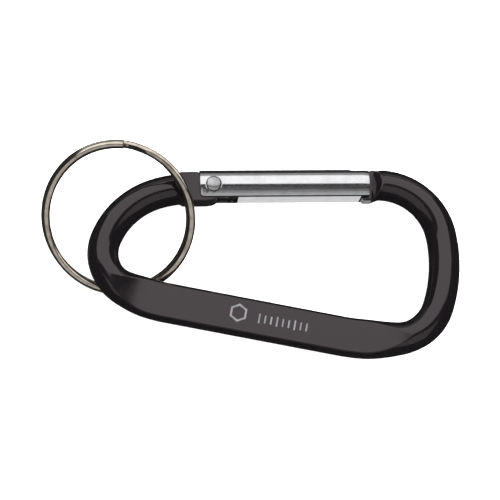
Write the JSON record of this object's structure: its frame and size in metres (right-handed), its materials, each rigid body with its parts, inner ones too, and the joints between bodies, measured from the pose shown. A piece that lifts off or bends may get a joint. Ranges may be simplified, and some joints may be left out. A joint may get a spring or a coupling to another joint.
{
  "type": "keyring carabiner",
  "caption": "Bent-bar carabiner with a flat spine, a sprung silver gate and a split ring threaded on its narrow end.",
  "frame": {"origin": "middle of the spine's front flat, on its surface", "axes": "+X along the spine towards the wide end, +Y across the window towards the gate, +Z out of the spine's front flat"},
  "size_m": [0.0805, 0.0372, 0.0139],
  "materials": {
    "frame_black": "gloss black anodised aluminium",
    "gate_aluminium": "bright polished, faint drawing lines",
    "rivet_steel": "bright, slightly marked by the rivet set",
    "spring_steel": "drawn wire, satin",
    "ring_nickel": "warm nickel plate, bright"
  },
  "bodies": {
    "frame": {"body_frame": "frame_black"},
    "gate": {"gate": "gate_aluminium", "hinge_rivet": "rivet_steel", "gate_spring": "spring_steel"},
    "plunger": {"spring_plunger": "spring_steel"},
    "ring": {"split_ring": "ring_nickel"}
  },
  "joints": [
    {"name": "gate_hinge", "type": "hinge", "parent": "frame", "child": "gate", "pos_m": [-0.01211, 0.02358, -0.00195], "axis": [0, 0, -1], "range_deg": [0, 28], "stiffness_Nm_per_rad": 0.05, "springref_deg": -17.19},
    {"name": "plunger_slide", "type": "slide", "parent": "gate", "child": "plunger", "axis": [0.9793, 0.2023, 0], "range_m": [0, 0.0009], "deforming": ["gate_spring"]},
    {"name": "ring_swing", "type": "hinge", "parent": "frame", "child": "ring", "pos_m": [-0.0287, 0.0143, -0.00195], "axis": [0.9641, -0.2656, 0], "range_deg": [0, 130]}
  ],
  "couplings": [
    {"joint": "plunger_slide", "follows": "gate_hinge", "m_per_rad": 0.00175}
  ]
}
